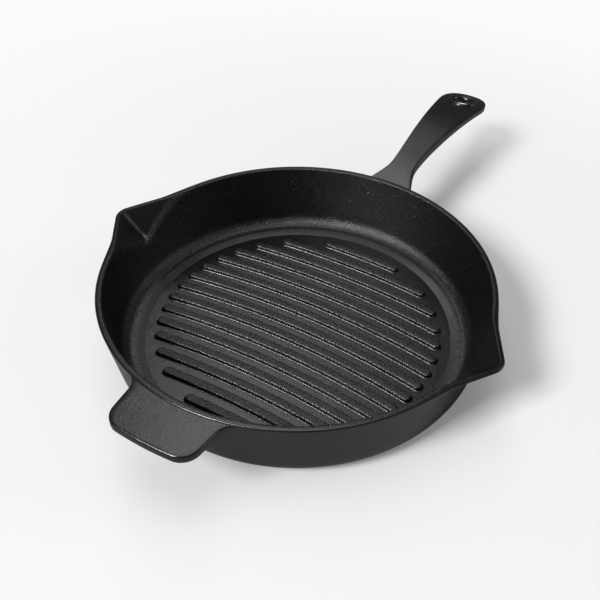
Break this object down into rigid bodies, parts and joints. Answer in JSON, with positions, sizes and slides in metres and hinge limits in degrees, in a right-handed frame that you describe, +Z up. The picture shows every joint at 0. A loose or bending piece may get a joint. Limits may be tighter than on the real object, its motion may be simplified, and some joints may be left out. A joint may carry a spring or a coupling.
{
  "type": "grill pan",
  "caption": "Round cast-iron grill pan with curved floor ribs, two pour spouts, a long arched handle with a hanging hole and a short helper handle.",
  "frame": {"origin": "centre of the flat round underside, where the pan stands", "axes": "+Z up out of the pan; +X along the long handle; -X towards the helper handle; +Y and -Y towards the two pour spouts"},
  "size_m": [0.4852, 0.3128, 0.064],
  "materials": {
    "cast_iron": "satin matt black, fine cast grain"
  },
  "bodies": {
    "root": {"pan_floor": "cast_iron", "floor_border": "cast_iron", "side_wall": "cast_iron", "rim": "cast_iron", "pour_spout_left": "cast_iron", "pour_spout_right": "cast_iron", "long_handle": "cast_iron", "hanging_ring": "cast_iron", "helper_handle": "cast_iron", "rib_01": "cast_iron", "rib_02": "cast_iron", "rib_03": "cast_iron", "rib_04": "cast_iron", "rib_05": "cast_iron", "rib_06": "cast_iron", "rib_07": "cast_iron", "rib_08": "cast_iron", "rib_09": "cast_iron", "rib_10": "cast_iron", "rib_11": "cast_iron", "rib_12": "cast_iron", "rib_13": "cast_iron", "rib_14": "cast_iron", "rib_15": "cast_iron"}
  },
  "joints": []
}
